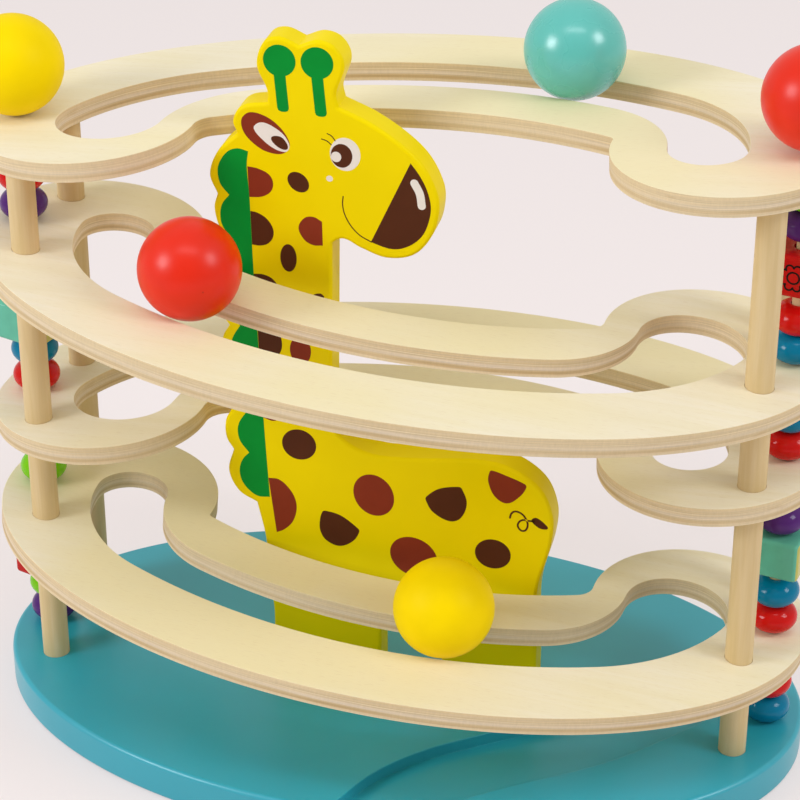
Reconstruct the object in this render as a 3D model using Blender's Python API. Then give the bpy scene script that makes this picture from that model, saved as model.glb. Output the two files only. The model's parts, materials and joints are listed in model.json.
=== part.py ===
import math

import bmesh
import bpy
from mathutils import Matrix, Vector
from mathutils.geometry import interpolate_bezier

# Wooden ball track: four sloped plywood tracks on four posts over an oval base board,
# with a giraffe board in the middle, two rods of beads at the ends and loose balls on the tracks.
# The origin is the centre of the base's underside, +X runs to the right and +Z up.

mm = 0.001

# Base and tracks share one oval outline
OVAL_HALF_LENGTH = 192 * mm
OVAL_HALF_WIDTH = 117 * mm
BASE_THICKNESS = 18 * mm
BASE_EDGE_RADIUS = 4 * mm
TRACK_THICKNESS = 9 * mm

# Balls, and the slot that they ride on
BALL_DIAMETER = 45 * mm
SLOT_WIDTH = 28 * mm
OUTER_RAIL = 37 * mm
RUN_END_INSET = 92 * mm
RUN_RISE = 20.9 * mm

# Drop hole at the low end of a slot and round stop at its high end
DROP_CLEARANCE = 1.5 * mm
DROP_INSET = 60.5 * mm
DROP_FILLET = 47 * mm
DROP_OUTER_BEND = 95 * mm
STOP_RADIUS = 17 * mm
STOP_INSET = 59 * mm
STOP_OFFSET = 4 * mm
STOP_FILLET = 47 * mm
STOP_OUTER_BEND = 65 * mm
LOBE_RIM = 26 * mm
LOBE_START = math.radians(4)
DROP_CORNER_FILLET = 10 * mm
STOP_CORNER_FILLET = 2.5 * mm

# Posts and bead rods
POST_DIAMETER = 12.5 * mm
POST_INSET = 28.5 * mm
POST_HALF_SPACING = 29 * mm
ROD_DIAMETER = 6 * mm
ROD_INSET = 17 * mm
BASE_SOCKET = 12 * mm
TOP_SOCKET = 5.5 * mm
FINIAL_BORE = 16 * mm

# Beads and blocks that are threaded on the rods
BEAD_DIAMETER = 22 * mm
BEAD_HEIGHT = 13.5 * mm
BEAD_FLAT_DIAMETER = 11 * mm
BLOCK_SIDE = 25 * mm
BLOCK_HEIGHT = 19 * mm
BLOCK_EDGE_RADIUS = 2 * mm

# Giraffe board and the ball channel in the base
GIRAFFE_THICKNESS = 15 * mm
GIRAFFE_EDGE_RADIUS = 1.5 * mm
GIRAFFE_REACH = 81 * mm
GIRAFFE_TENON = 9 * mm
FRONT_FOOT = (-60 * mm, -7.3 * mm)
HIND_FOOT = (22 * mm, 67.5 * mm)
FOOT_ARCH_HEIGHT = 25 * mm
CHANNEL_WIDTH = 40 * mm
CHANNEL_DEPTH = 6 * mm

# Fits and facets
CLEARANCE = 0.3 * mm
GIRAFFE_CLEARANCE = 0.6 * mm
CHORD_ERROR = 0.15 * mm
OUTLINE_STEP = 6 * mm
POST_FACETS = 20
ROD_FACETS = 12
BEAD_FACETS = 16
BALL_FACETS = 20
BALL_RINGS = 12
WELD = 0.002 * mm
OVERCUT = 10 * mm

# Each track: its name, whether it is turned half round, the height of its top over the base
# at the posts of its high end, and its drop from there to the posts of its low end
TRACKS = (
    ("track_top", True, 285.1 * mm, 17.8 * mm),
    ("track_upper", False, 214.9 * mm, 26.7 * mm),
    ("track_lower", True, 139.8 * mm, 11.0 * mm),
    ("track_bottom", False, 77.6 * mm, 27.6 * mm),
)

# Loose balls: colour, track, and distance along the run from its middle towards the drop hole
BALLS = (
    ("teal", "track_top", -66 * mm),
    ("red", "track_upper", -81 * mm),
    ("yellow", "track_bottom", 34.5 * mm),
)
FINIALS = {"left": "yellow", "right": "red"}

# Bead stacks, each listed upwards from the board that it stands on
STACKS = (
    ("left", "ground", "base_board", ("purple bead", "green bead", "red block")),
    ("left", "lower", "track_bottom", ("green bead",)),
    ("left", "upper", "track_lower", ("red bead", "blue bead", "teal block")),
    ("left", "top", "track_upper", ("purple bead", "red bead")),
    ("right", "ground", "base_board", ("blue bead", "red bead")),
    ("right", "lower", "track_bottom", ("red bead", "blue bead", "teal block", "purple bead")),
    ("right", "upper", "track_lower", ("red bead", "blue bead")),
    ("right", "top", "track_upper", ("blue bead", "red bead", "red block", "purple bead", "green bead")),
)
BLOCK_TURN = {"left": math.radians(-18), "right": math.radians(-11)}
# Pieces that stay on the rod clear of the piece below them, and by how much
HELD_UP = {
    "block_right_lower_3_teal": 5.6 * mm,
    "block_right_top_3_red": 7.1 * mm,
    "bead_right_top_4_purple": 3.8 * mm,
}

# Finishes: colour and roughness
FINISHES = {
    "birch plywood": ((0.86, 0.75, 0.52), 0.55),
    "beech": ((0.70, 0.48, 0.22), 0.55),
    "base blue": ((0.08, 0.38, 0.48), 0.40),
    "giraffe yellow": ((0.87, 0.66, 0.00), 0.35),
    "ball teal": ((0.15, 0.55, 0.46), 0.35),
    "ball red": ((0.78, 0.04, 0.02), 0.35),
    "ball yellow": ((0.93, 0.74, 0.00), 0.35),
    "bead red": ((0.58, 0.01, 0.01), 0.15),
    "bead blue": ((0.00, 0.19, 0.33), 0.15),
    "bead purple": ((0.10, 0.03, 0.16), 0.15),
    "bead green": ((0.11, 0.39, 0.01), 0.15),
    "block red": ((0.52, 0.02, 0.02), 0.35),
    "block teal": ((0.16, 0.45, 0.30), 0.35),
}

# Sizes that follow from the ones above
BASE_TOP = BASE_THICKNESS
BALL_RADIUS = BALL_DIAMETER / 2
POST_X = OVAL_HALF_LENGTH - POST_INSET
ROD_X = OVAL_HALF_LENGTH - ROD_INSET
SIDE_X = {"left": -ROD_X, "right": ROD_X}
RUN_MIDDLE = OVAL_HALF_WIDTH - OUTER_RAIL - SLOT_WIDTH / 2
RUN_END = OVAL_HALF_LENGTH - RUN_END_INSET
RUN_RADIUS = (RUN_END**2 + RUN_RISE**2) / (2 * RUN_RISE)
RUN_CENTRE = Vector((0, RUN_RADIUS - RUN_MIDDLE))
INNER_EDGE = RUN_RADIUS - SLOT_WIDTH / 2
OUTER_EDGE = RUN_RADIUS + SLOT_WIDTH / 2
RAIL_BACK = math.hypot(GIRAFFE_REACH, RUN_CENTRE.y + GIRAFFE_THICKNESS / 2 + GIRAFFE_CLEARANCE)
DROP_RADIUS = BALL_RADIUS + DROP_CLEARANCE
DROP_CENTRE = Vector((OVAL_HALF_LENGTH - DROP_INSET, 0))
STOP_CENTRE = Vector((STOP_INSET - OVAL_HALF_LENGTH, STOP_OFFSET))
LOBE_RADIUS = DROP_RADIUS + LOBE_RIM
RIDE_HEIGHT = math.sqrt((BALL_RADIUS + CLEARANCE) ** 2 - (SLOT_WIDTH / 2) ** 2)


def clear_scene():
    for obj in list(bpy.data.objects):
        bpy.data.objects.remove(obj, do_unlink=True)


def finish(name):
    material = bpy.data.materials.get(name)
    if material is None:
        colour, roughness = FINISHES[name]
        material = bpy.data.materials.new(name)
        material.use_nodes = True
        shader = material.node_tree.nodes["Principled BSDF"]
        shader.inputs["Base Color"].default_value = (*colour, 1)
        shader.inputs["Roughness"].default_value = roughness
        shader.inputs["Metallic"].default_value = 0
    return material


def add_object(name, mesh, finish_name, location=(0, 0, 0)):
    obj = bpy.data.objects.new(name, mesh)
    obj.location = location
    bpy.context.scene.collection.objects.link(obj)
    if finish_name:
        mesh.materials.append(finish(finish_name))
        mesh.shade_smooth()
        mesh.set_sharp_from_angle(angle=math.radians(35))
    else:
        obj.hide_render = True
        obj.display_type = "WIRE"
    return obj


def cut(obj, cutter):
    modifier = obj.modifiers.new(cutter.name, "BOOLEAN")
    modifier.operation = "DIFFERENCE"
    modifier.solver = "EXACT"
    modifier.object = cutter


def mesh_from(name, build):
    shape = bmesh.new()
    build(shape)
    bmesh.ops.recalc_face_normals(shape, faces=shape.faces)
    mesh = bpy.data.meshes.new(name)
    shape.to_mesh(mesh)
    shape.free()
    return mesh


# Flat outlines: arcs, ellipses and smooth runs, as lists of points

def facet_angle(radius):
    return 2 * math.acos(1 - CHORD_ERROR / radius)


def arc(centre, start, end, turn):
    spoke = start - centre
    angle = (math.atan2((end - centre).y, (end - centre).x) - math.atan2(spoke.y, spoke.x)) * turn
    angle = angle % math.tau
    steps = max(2, math.ceil(angle / facet_angle(spoke.length)))
    return [centre + Matrix.Rotation(turn * angle * i / steps, 2) @ spoke for i in range(steps)]


def oval(start, end):
    # A multiple of four facets puts a point on both axes of a whole oval
    steps = 4 * math.ceil((end - start) / facet_angle(OVAL_HALF_LENGTH) / 4)
    angles = [start + (end - start) * i / steps for i in range(steps)]
    return [Vector((OVAL_HALF_LENGTH * math.cos(t), OVAL_HALF_WIDTH * math.sin(t))) for t in angles]


def crossing(centre_a, radius_a, centre_b, radius_b):
    # Of the two points where the circles cross, the one nearer to the object's middle
    apart = (centre_b - centre_a).length
    along = (centre_b - centre_a) / apart
    reach = (radius_a**2 - radius_b**2 + apart**2) / (2 * apart)
    height = math.sqrt(radius_a**2 - reach**2)
    across = Vector((-along.y, along.x)) * height
    foot = centre_a + along * reach
    return min(foot + across, foot - across, key=lambda point: abs(point.x))


def toward(centre, point, radius):
    return centre + (point - centre).normalized() * radius


def smooth_run(knots):
    points = []
    for i in range(len(knots) - 1):
        first, last = knots[i], knots[i + 1]
        before = knots[max(i - 1, 0)]
        after = knots[min(i + 2, len(knots) - 1)]
        reach = (last - first).length / 3
        leave = first + (last - before).normalized() * reach
        arrive = last - (after - first).normalized() * reach
        count = max(2, math.ceil((last - first).length / OUTLINE_STEP)) + 1
        points += [p.to_2d() for p in interpolate_bezier(
            first.to_3d(), leave.to_3d(), arrive.to_3d(), last.to_3d(), count)][:-1]
    return points


def plate(name, loops, thickness, edge_radius=0, edge_facets=1):
    # A board cut to the loops: the first is its outline, the others are holes through it
    outline = bpy.data.curves.new(name, "CURVE")
    outline.dimensions = "2D"
    outline.fill_mode = "BOTH"
    outline.extrude = thickness / 2 - edge_radius
    outline.bevel_depth = edge_radius
    outline.bevel_resolution = edge_facets - 1
    outline.offset = -edge_radius
    for loop in loops:
        spline = outline.splines.new("POLY")
        spline.points.add(len(loop) - 1)
        for point, place in zip(spline.points, loop):
            point.co = (place.x, place.y, 0, 1)
        spline.use_cyclic_u = True
    pattern = bpy.data.objects.new(name, outline)
    bpy.context.scene.collection.objects.link(pattern)
    bpy.context.view_layer.update()
    mesh = bpy.data.meshes.new_from_object(pattern.evaluated_get(bpy.context.evaluated_depsgraph_get()))
    bpy.data.objects.remove(pattern)

    def weld(shape):
        shape.from_mesh(mesh)
        bmesh.ops.remove_doubles(shape, verts=shape.verts, dist=WELD)
    return mesh_from(name, weld)


# Places on the sloped tracks

def track_tilt(name):
    drop = next(track[3] for track in TRACKS if track[0] == name)
    return math.atan(drop / (2 * POST_X))


def track_frame(name):
    # From a track's own plan, with its drop hole at +X and its top at zero, to its place on the posts
    _, turned, high, drop = next(track for track in TRACKS if track[0] == name)
    lift = Matrix.Translation((0, 0, BASE_TOP + high - drop / 2))
    turn = Matrix.Rotation(math.pi if turned else 0, 4, "Z")
    return lift @ turn @ Matrix.Rotation(track_tilt(name), 4, "Y")


def top_at(name, x):
    if name == "base_board":
        return BASE_TOP
    frame = track_frame(name)
    normal = frame.to_3x3() @ Vector((0, 0, 1))
    return frame.translation.z - normal.x / normal.z * x


# Cutters

def cylinders(name, axes, radius, sides):
    # One upright cylinder for each place (x, y, bottom, top)
    def build(shape):
        for x, y, bottom, top in axes:
            place = Matrix.Translation((x, y, (bottom + top) / 2))
            bmesh.ops.create_cone(
                shape, cap_ends=True, segments=sides, radius1=radius, radius2=radius,
                depth=top - bottom, matrix=place)
    return mesh_from(name, build)


def post_axes():
    # Socket floor in the base and socket ceiling in the top track, for each post
    floor = BASE_TOP - BASE_SOCKET
    axes = {}
    for side, x in (("left", -POST_X), ("right", POST_X)):
        underside = top_at("track_top", x) - TRACK_THICKNESS / math.cos(track_tilt("track_top"))
        for row, y in (("front", -POST_HALF_SPACING), ("back", POST_HALF_SPACING)):
            axes[f"{row}_{side}"] = (x, y, floor, underside + TOP_SOCKET)
    return axes


def finial_height(side):
    seat = top_at("track_top", SIDE_X[side])
    return seat + BALL_RADIUS / math.cos(track_tilt("track_top")) + CLEARANCE


def rod_axes():
    floor = BASE_TOP - BASE_SOCKET
    axes = {}
    for side, x in SIDE_X.items():
        axes[side] = (x, 0, floor, finial_height(side) - BALL_RADIUS + FINIAL_BORE)
    return axes


def shorter(axis):
    x, y, bottom, top = axis
    return x, y, bottom + CLEARANCE, top - CLEARANCE


# Boards

def slot_outline():
    inner_drop = crossing(RUN_CENTRE, INNER_EDGE - DROP_FILLET, DROP_CENTRE, DROP_RADIUS + DROP_FILLET)
    outer_drop = crossing(
        RUN_CENTRE, OUTER_EDGE - DROP_OUTER_BEND, DROP_CENTRE, DROP_OUTER_BEND - DROP_RADIUS)
    inner_stop = crossing(RUN_CENTRE, INNER_EDGE - STOP_FILLET, STOP_CENTRE, STOP_RADIUS + STOP_FILLET)
    outer_stop = crossing(
        RUN_CENTRE, OUTER_EDGE - STOP_OUTER_BEND, STOP_CENTRE, STOP_OUTER_BEND - STOP_RADIUS)
    run_start = toward(RUN_CENTRE, inner_stop, INNER_EDGE)
    run_finish = toward(RUN_CENTRE, inner_drop, INNER_EDGE)
    drop_start = toward(inner_drop, DROP_CENTRE, DROP_FILLET)
    drop_finish = toward(outer_drop, DROP_CENTRE, DROP_OUTER_BEND)
    back_start = toward(RUN_CENTRE, outer_drop, OUTER_EDGE)
    back_finish = toward(RUN_CENTRE, outer_stop, OUTER_EDGE)
    stop_start = toward(outer_stop, STOP_CENTRE, STOP_OUTER_BEND)
    stop_finish = toward(inner_stop, STOP_CENTRE, STOP_FILLET)
    return (
        arc(RUN_CENTRE, run_start, run_finish, 1)
        + arc(inner_drop, run_finish, drop_start, 1)
        + arc(DROP_CENTRE, drop_start, drop_finish, -1)
        + arc(outer_drop, drop_finish, back_start, -1)
        + arc(RUN_CENTRE, back_start, back_finish, -1)
        + arc(outer_stop, back_finish, stop_start, -1)
        + arc(STOP_CENTRE, stop_start, stop_finish, -1)
        + arc(inner_stop, stop_finish, run_start, 1)
    )


def track_outline():
    # Half of the oval, a round lobe at each end that runs out of it, and the hollow back edge between them
    leave = Vector((OVAL_HALF_LENGTH * math.cos(LOBE_START), OVAL_HALF_WIDTH * math.sin(LOBE_START)))
    normal = Vector((math.cos(LOBE_START) / OVAL_HALF_LENGTH, math.sin(LOBE_START) / OVAL_HALF_WIDTH))
    lobe_right = leave - normal.normalized() * LOBE_RADIUS
    lobe_left = Vector((-lobe_right.x, lobe_right.y))
    fillet_right = crossing(
        lobe_right, LOBE_RADIUS + DROP_CORNER_FILLET, RUN_CENTRE, RAIL_BACK - DROP_CORNER_FILLET)
    fillet_left = crossing(
        lobe_left, LOBE_RADIUS + STOP_CORNER_FILLET, RUN_CENTRE, RAIL_BACK - STOP_CORNER_FILLET)
    lobe_end = toward(lobe_right, fillet_right, LOBE_RADIUS)
    back_start = toward(RUN_CENTRE, fillet_right, RAIL_BACK)
    back_end = toward(RUN_CENTRE, fillet_left, RAIL_BACK)
    lobe_start = toward(lobe_left, fillet_left, LOBE_RADIUS)
    return (
        oval(math.pi - LOBE_START, math.tau + LOBE_START)
        + arc(lobe_right, leave, lobe_end, 1)
        + arc(fillet_right, lobe_end, back_start, -1)
        + arc(RUN_CENTRE, back_start, back_end, -1)
        + arc(fillet_left, back_end, lobe_start, -1)
        + arc(lobe_left, lobe_start, Vector((-leave.x, leave.y)), 1)
    )


def channel_outline():
    # From under the bottom track's drop hole to the front edge of the base, round at its start
    half = CHANNEL_WIDTH / 2
    front = -OVAL_HALF_WIDTH
    knots = [
        DROP_CENTRE,
        DROP_CENTRE + Vector((-34, -37)) * mm,
        DROP_CENTRE + Vector((-74, -66)) * mm,
        Vector((40 * mm, front + 37 * mm)),
        Vector((26 * mm, front + 20 * mm)),
        Vector((17 * mm, front)),
        Vector((9 * mm, front - CHANNEL_WIDTH / 2)),
    ]
    middle = smooth_run(knots)
    ways = [(b - a).normalized() for a, b in zip(middle, middle[1:])]
    aside = [Vector((-way.y, way.x)) * half for way in ways]
    right_bank = [point - side for point, side in zip(middle, aside)]
    left_bank = [point + side for point, side in zip(middle, aside)]
    return right_bank[::-1] + arc(DROP_CENTRE, right_bank[0], left_bank[0], -1) + left_bank


def giraffe_outline():
    # Seen from the front, x to the right and y up from the top of the base
    def knots(*pairs):
        return [Vector(pair) * mm for pair in pairs]

    ground = -GIRAFFE_TENON
    toe = Vector((FRONT_FOOT[0], ground))
    chest = [Vector((FRONT_FOOT[0], FOOT_ARCH_HEIGHT))] + knots((-63.2, 65.5), (-67, 84.6))
    neck_base, scallop, scallops = 111.6, 21.52, 6
    mane = smooth_run(knots((-67, 84.6), (-75.6, 89.6), (-80.2, 100), (-77.5, neck_base)))
    for i in range(scallops):
        low = neck_base + scallop * i
        lean = -3.3 if i == scallops - 1 else 0
        mane += smooth_run(knots(
            (-77.5, low), (-80.8, low + 6), (-80.8 + lean / 2, low + 15), (-77.5 + lean, low + scallop)))
    crown = knots((-80.8, neck_base + scallop * scallops), (-84, 250), (-79.7, 261.5), (-70.8, 270.6))
    ear = knots((-70.8, 270.6), (-72.6, 276.2), (-68.2, 283.5), (-56.8, 286.3))
    horn_left = knots(
        (-56.8, 286.3), (-56.9, 292), (-61.2, 303), (-57.5, 314.1), (-50.7, 316.6), (-42.3, 313.6))
    horn_right = knots(
        (-42.3, 313.6), (-34, 316.6), (-26.3, 314.1), (-22.4, 306), (-26.2, 293), (-25.2, 287.2))
    head = knots(
        (-25.2, 287.2), (-11, 281.3), (3.5, 272.1), (12.6, 263.1), (18.4, 251.3), (19.2, 243), (16.6, 232.2),
        (8.4, 221.4), (-4, 218.3), (-15.8, 221.8), (-24, 225.3), (-29.6, 221.9))
    back = knots(
        (-29.9, 145), (-28.7, 130), (-22, 122.4), (-9.8, 118.1), (10, 118.9), (36, 122), (52, 120.6),
        (66.9, 111.2), (73.2, 97), (72.9, 83), (67, 55.5)) + [Vector((HIND_FOOT[1], FOOT_ARCH_HEIGHT))]
    heel = [Vector((HIND_FOOT[1], ground)), Vector((HIND_FOOT[0], ground))]
    arch_right = Vector((HIND_FOOT[0], FOOT_ARCH_HEIGHT))
    arch_left = Vector((FRONT_FOOT[1], FOOT_ARCH_HEIGHT))
    return (
        [toe] + smooth_run(chest)
        + mane + smooth_run(crown) + smooth_run(ear)
        + smooth_run(horn_left) + smooth_run(horn_right)
        + smooth_run(head) + smooth_run(back) + back[-1:]
        + heel + arc((arch_left + arch_right) / 2, arch_right, arch_left, 1)
        + [arch_left, Vector((FRONT_FOOT[1], ground))]
    )


def build_base(dowel_drill, rod_drill):
    board = plate("base_board", [oval(0, math.tau)], BASE_THICKNESS, BASE_EDGE_RADIUS, 2)
    base = add_object("base_board", board, "base blue", (0, 0, BASE_THICKNESS / 2))
    trench = plate("channel_cutter", [channel_outline()], CHANNEL_DEPTH + OVERCUT)
    trench_height = BASE_TOP - CHANNEL_DEPTH + (CHANNEL_DEPTH + OVERCUT) / 2
    mortise = mesh_from("mortise_cutter", mortises)
    for cutter in (
        add_object("channel_cutter", trench, None, (0, 0, trench_height)),
        add_object("mortise_cutter", mortise, None),
        dowel_drill,
        rod_drill,
    ):
        cut(base, cutter)


def mortises(shape):
    # One pocket in the base for each of the giraffe's two feet
    deep = GIRAFFE_TENON + CLEARANCE
    for left, right in (FRONT_FOOT, HIND_FOOT):
        size = (right - left + 2 * CLEARANCE, GIRAFFE_THICKNESS + 2 * CLEARANCE, deep + OVERCUT)
        place = Vector(((left + right) / 2, 0, BASE_TOP - deep + size[2] / 2))
        bmesh.ops.create_cube(shape, size=1, matrix=Matrix.Translation(place) @ Matrix.Diagonal((*size, 1)))


def build_tracks(dowel_drill, rod_drill):
    loops = [track_outline(), slot_outline()]
    for name, _, _, _ in TRACKS:
        board = plate(name, loops, TRACK_THICKNESS)
        board.transform(Matrix.Translation((0, 0, -TRACK_THICKNESS / 2)))
        track = add_object(name, board, "birch plywood")
        track.matrix_world = track_frame(name)
        cut(track, dowel_drill)
        cut(track, rod_drill)


def build_giraffe():
    board = plate("giraffe_board", [giraffe_outline()], GIRAFFE_THICKNESS, GIRAFFE_EDGE_RADIUS)
    giraffe = add_object("giraffe_board", board, "giraffe yellow", (0, 0, BASE_TOP))
    giraffe.rotation_euler = (math.radians(90), 0, 0)


# Round pieces

def build_posts():
    for place, axis in post_axes().items():
        x, y, bottom, top = shorter(axis)
        post = cylinders(f"post_{place}", [(0, 0, 0, top - bottom)], POST_DIAMETER / 2, POST_FACETS)
        add_object(f"post_{place}", post, "beech", (x, y, bottom))


def build_rods():
    for side, axis in rod_axes().items():
        x, y, bottom, top = shorter(axis)
        rod = cylinders(f"bead_rod_{side}", [(0, 0, 0, top - bottom)], ROD_DIAMETER / 2, ROD_FACETS)
        add_object(f"bead_rod_{side}", rod, "beech", (x, y, bottom))


def ball_mesh(name):
    def build(shape):
        bmesh.ops.create_uvsphere(shape, u_segments=BALL_FACETS, v_segments=BALL_RINGS, radius=BALL_RADIUS)
    return mesh_from(name, build)


def build_balls(rod_drill):
    for side, colour in FINIALS.items():
        name = f"finial_{side}"
        finial = add_object(name, ball_mesh(name), f"ball {colour}", (SIDE_X[side], 0, finial_height(side)))
        cut(finial, rod_drill)
    for colour, track, along in BALLS:
        # The ball rolls round the middle of its track's arc, where its parent stands
        pivot = bpy.data.objects.new(f"pivot_{colour}", None)
        bpy.context.scene.collection.objects.link(pivot)
        pivot.matrix_world = track_frame(track) @ Matrix.Translation(RUN_CENTRE.to_3d())
        name = f"ball_{colour}"
        across = math.sqrt(RUN_RADIUS**2 - along**2)
        ball = add_object(name, ball_mesh(name), f"ball {colour}", (along, -across, RIDE_HEIGHT))
        ball.parent = pivot


def bead_mesh(name):
    # A squashed ball with flat ends and a bore, turned round the rod
    half = BEAD_HEIGHT / 2
    radius = BEAD_DIAMETER / 2
    flat = math.asin(BEAD_FLAT_DIAMETER / BEAD_DIAMETER)
    bore = ROD_DIAMETER / 2 + CLEARANCE
    rise = half / math.cos(flat)
    angles = [flat + (math.pi - 2 * flat) * i / 4 for i in range(5)]
    profile = [(bore, half)] + [(radius * math.sin(t), rise * math.cos(t)) for t in angles] + [(bore, -half)]

    def build(shape):
        ring = [shape.verts.new((x, 0, z)) for x, z in profile]
        edges = [shape.edges.new(pair) for pair in zip(ring, ring[1:] + ring[:1])]
        bmesh.ops.spin(
            shape, geom=ring + edges, axis=(0, 0, 1), cent=(0, 0, 0), angle=math.tau,
            steps=BEAD_FACETS, use_merge=True)
        bmesh.ops.remove_doubles(shape, verts=shape.verts, dist=WELD)
    return mesh_from(name, build)


def block_mesh(name):
    def build(shape):
        size = Matrix.Diagonal((BLOCK_SIDE, BLOCK_SIDE, BLOCK_HEIGHT, 1))
        bmesh.ops.create_cube(shape, size=1, matrix=size)
        bmesh.ops.bevel(
            shape, geom=list(shape.edges), offset=BLOCK_EDGE_RADIUS, segments=2, profile=0.5, affect="EDGES")
    return mesh_from(name, build)


def build_stacks(rod_drill):
    for side, level, board, pieces in STACKS:
        x = SIDE_X[side]
        # On a sloped track the lowest bead bears on the high side of its flat end
        slope = math.tan(track_tilt(board)) if board != "base_board" else 0
        seat = top_at(board, x) + BEAD_FLAT_DIAMETER / 2 * slope + CLEARANCE
        for count, piece in enumerate(pieces, 1):
            colour, kind = piece.split()
            name = f"{kind}_{side}_{level}_{count}_{colour}"
            height = BEAD_HEIGHT if kind == "bead" else BLOCK_HEIGHT
            mesh = bead_mesh(name) if kind == "bead" else block_mesh(name)
            seat += HELD_UP.get(name, 0)
            obj = add_object(name, mesh, f"{kind} {colour}", (x, 0, seat + height / 2))
            if kind == "block":
                obj.rotation_euler = (0, 0, BLOCK_TURN[side])
                cut(obj, rod_drill)
            seat += height + CLEARANCE


def main():
    clear_scene()
    posts = cylinders("dowel_drill", post_axes().values(), POST_DIAMETER / 2 + CLEARANCE, POST_FACETS)
    rods = cylinders("rod_drill", rod_axes().values(), ROD_DIAMETER / 2 + CLEARANCE, ROD_FACETS)
    dowel_drill = add_object("dowel_drill", posts, None)
    rod_drill = add_object("rod_drill", rods, None)
    build_base(dowel_drill, rod_drill)
    build_tracks(dowel_drill, rod_drill)
    build_giraffe()
    build_posts()
    build_rods()
    build_balls(rod_drill)
    build_stacks(rod_drill)


main()
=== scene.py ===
import json
import math

import bmesh
import bpy
from mathutils import Matrix, Vector
from mathutils.geometry import interpolate_bezier

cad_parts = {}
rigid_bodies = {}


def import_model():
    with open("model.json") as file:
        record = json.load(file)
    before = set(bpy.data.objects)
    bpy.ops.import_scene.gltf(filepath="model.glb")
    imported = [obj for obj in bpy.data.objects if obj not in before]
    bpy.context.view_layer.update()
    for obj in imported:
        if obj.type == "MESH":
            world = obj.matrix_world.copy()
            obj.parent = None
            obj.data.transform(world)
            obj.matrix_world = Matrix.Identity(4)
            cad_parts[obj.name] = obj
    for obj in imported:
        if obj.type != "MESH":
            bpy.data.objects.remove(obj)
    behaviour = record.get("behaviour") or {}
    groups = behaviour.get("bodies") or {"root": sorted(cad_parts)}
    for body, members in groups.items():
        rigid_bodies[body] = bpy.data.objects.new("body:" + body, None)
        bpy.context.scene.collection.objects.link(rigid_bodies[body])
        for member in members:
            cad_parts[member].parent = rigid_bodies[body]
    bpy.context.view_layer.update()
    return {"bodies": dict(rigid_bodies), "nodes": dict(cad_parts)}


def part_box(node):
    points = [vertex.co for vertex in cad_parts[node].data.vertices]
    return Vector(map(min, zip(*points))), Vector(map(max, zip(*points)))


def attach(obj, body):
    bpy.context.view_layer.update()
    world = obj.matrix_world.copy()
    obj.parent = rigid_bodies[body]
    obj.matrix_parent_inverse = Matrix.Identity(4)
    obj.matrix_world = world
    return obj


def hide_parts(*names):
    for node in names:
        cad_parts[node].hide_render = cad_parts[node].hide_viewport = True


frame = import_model()
scene = bpy.context.scene
scene.view_settings.view_transform = "Standard"
mm = 0.001  # sizes below are in mm; meshes are drawn in mm and scaled when they are placed
print("frame loaded:", len(frame["nodes"]), "nodes")


# finishes

def linear(code):  # sRGB hex to the linear values that sockets take
    parts = [int(code[i:i + 2], 16) / 255 for i in (1, 3, 5)]
    return [p / 12.92 if p <= 0.04045 else ((p + 0.055) / 1.055) ** 2.4 for p in parts] + [1]


def addNode(tree, kind, inputs=(), stops=(), **settings):
    # inputs: a socket's name or number with a link, a hex colour or a value
    # stops: a ramp's places and colours
    node = tree.nodes.new("ShaderNode" + kind)
    for name, value in settings.items():
        setattr(node, name, value)
    for name, value in dict(inputs).items():
        if isinstance(value, bpy.types.NodeSocket):
            tree.links.new(value, node.inputs[name])
        else:
            node.inputs[name].default_value = linear(value) if isinstance(value, str) else value
    for count, (place, code) in enumerate(stops):
        ramp = node.color_ramp.elements
        stop = ramp[count] if count < 2 else ramp.new(place)
        stop.position = place
        stop.color = linear(code)
    return node


def newFinish(name):
    finish = bpy.data.materials.new(name)
    finish.use_nodes = True
    return finish, finish.node_tree, finish.node_tree.nodes["Principled BSDF"]


def pattern(tree, kind, place, sizes, inputs=(), shift=(0, 0, 0)):
    # a texture with features of these sizes in mm along each axis
    scale = [1 / (size * mm) for size in sizes]
    spread = addNode(tree, "Mapping", {"Vector": place, "Location": shift, "Scale": scale})
    return addNode(tree, kind, {"Vector": spread.outputs[0], "Scale": 1} | dict(inputs))


def tinted(tree, colour, amount, bounds, tone):  # takes on another tone as the amount passes through a range
    share = addNode(tree, "MapRange", enumerate((amount, *bounds)))
    return addNode(tree, "Mix", {0: share.outputs[0], 6: colour, 7: tone}, data_type="RGBA").outputs[2]


def dress(tree, shader, colour, gloss, height, relief, ior, shine):  # relief is a strength and a depth
    strength, depth = relief
    bump = addNode(tree, "Bump", {"Height": height, "Strength": strength, "Distance": depth})
    for name, socket in (("Base Color", colour), ("Roughness", gloss), ("Normal", bump.outputs[0])):
        tree.links.new(socket, shader.inputs[name])
    shader.inputs["IOR"].default_value = ior
    shader.inputs["Specular IOR Level"].default_value = shine


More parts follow.
